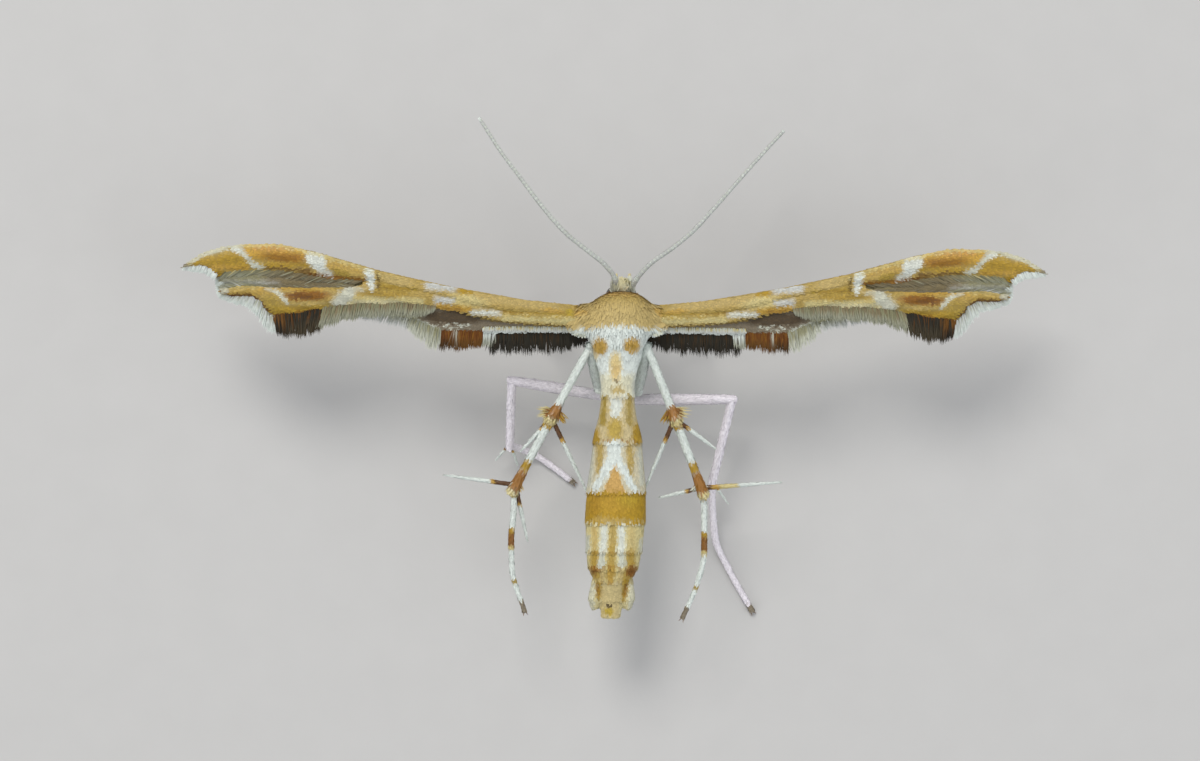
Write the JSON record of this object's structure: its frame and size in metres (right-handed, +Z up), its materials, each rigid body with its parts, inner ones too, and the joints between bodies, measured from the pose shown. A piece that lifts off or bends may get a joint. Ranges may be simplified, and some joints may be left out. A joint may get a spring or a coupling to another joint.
{
  "type": "plume moth",
  "caption": "Life-size still model of a resting plume moth: narrow cleft wings held straight out, slim banded body, long spurred hind legs trailed behind.",
  "frame": {"origin": "on the floor below the centre of the moth's outline seen from above", "axes": "+X to the moth's right, along its outspread wings; +Y from the tail to the head; +Z up from the floor that it stands on"},
  "size_m": [0.022, 0.0132, 0.0038],
  "materials": {
    "gold": "matt golden orange wing and body scales",
    "cream": "matt cream scales",
    "white": "matt white scales",
    "eye": "dark glossy eye"
  },
  "bodies": {
    "root": {"abdomen": "cream", "thorax": "gold", "head": "cream", "eye_left": "eye", "eye_right": "eye", "palp_left": "white", "palp_right": "white", "antenna_left": "white", "antenna_right": "white", "clasper_left": "cream", "clasper_right": "cream", "forewing_left": "gold", "forewing_right": "gold", "hindwing_left": "gold", "hindwing_right": "gold", "coxa_fore_left": "white", "femur_fore_left": "white", "tibia_fore_left": "cream", "tarsus_fore_left": "white", "coxa_fore_right": "white", "femur_fore_right": "white", "tibia_fore_right": "cream", "tarsus_fore_right": "white", "coxa_mid_left": "white", "femur_mid_left": "white", "tibia_mid_left": "cream", "tarsus_mid_left": "white", "coxa_mid_right": "white", "femur_mid_right": "white", "tibia_mid_right": "cream", "tarsus_mid_right": "white", "coxa_hind_left": "white", "femur_hind_left": "white", "tibia_hind_left": "cream", "tarsus_hind_left": "white", "coxa_hind_right": "white", "femur_hind_right": "white", "tibia_hind_right": "cream", "tarsus_hind_right": "white"}
  },
  "joints": []
}
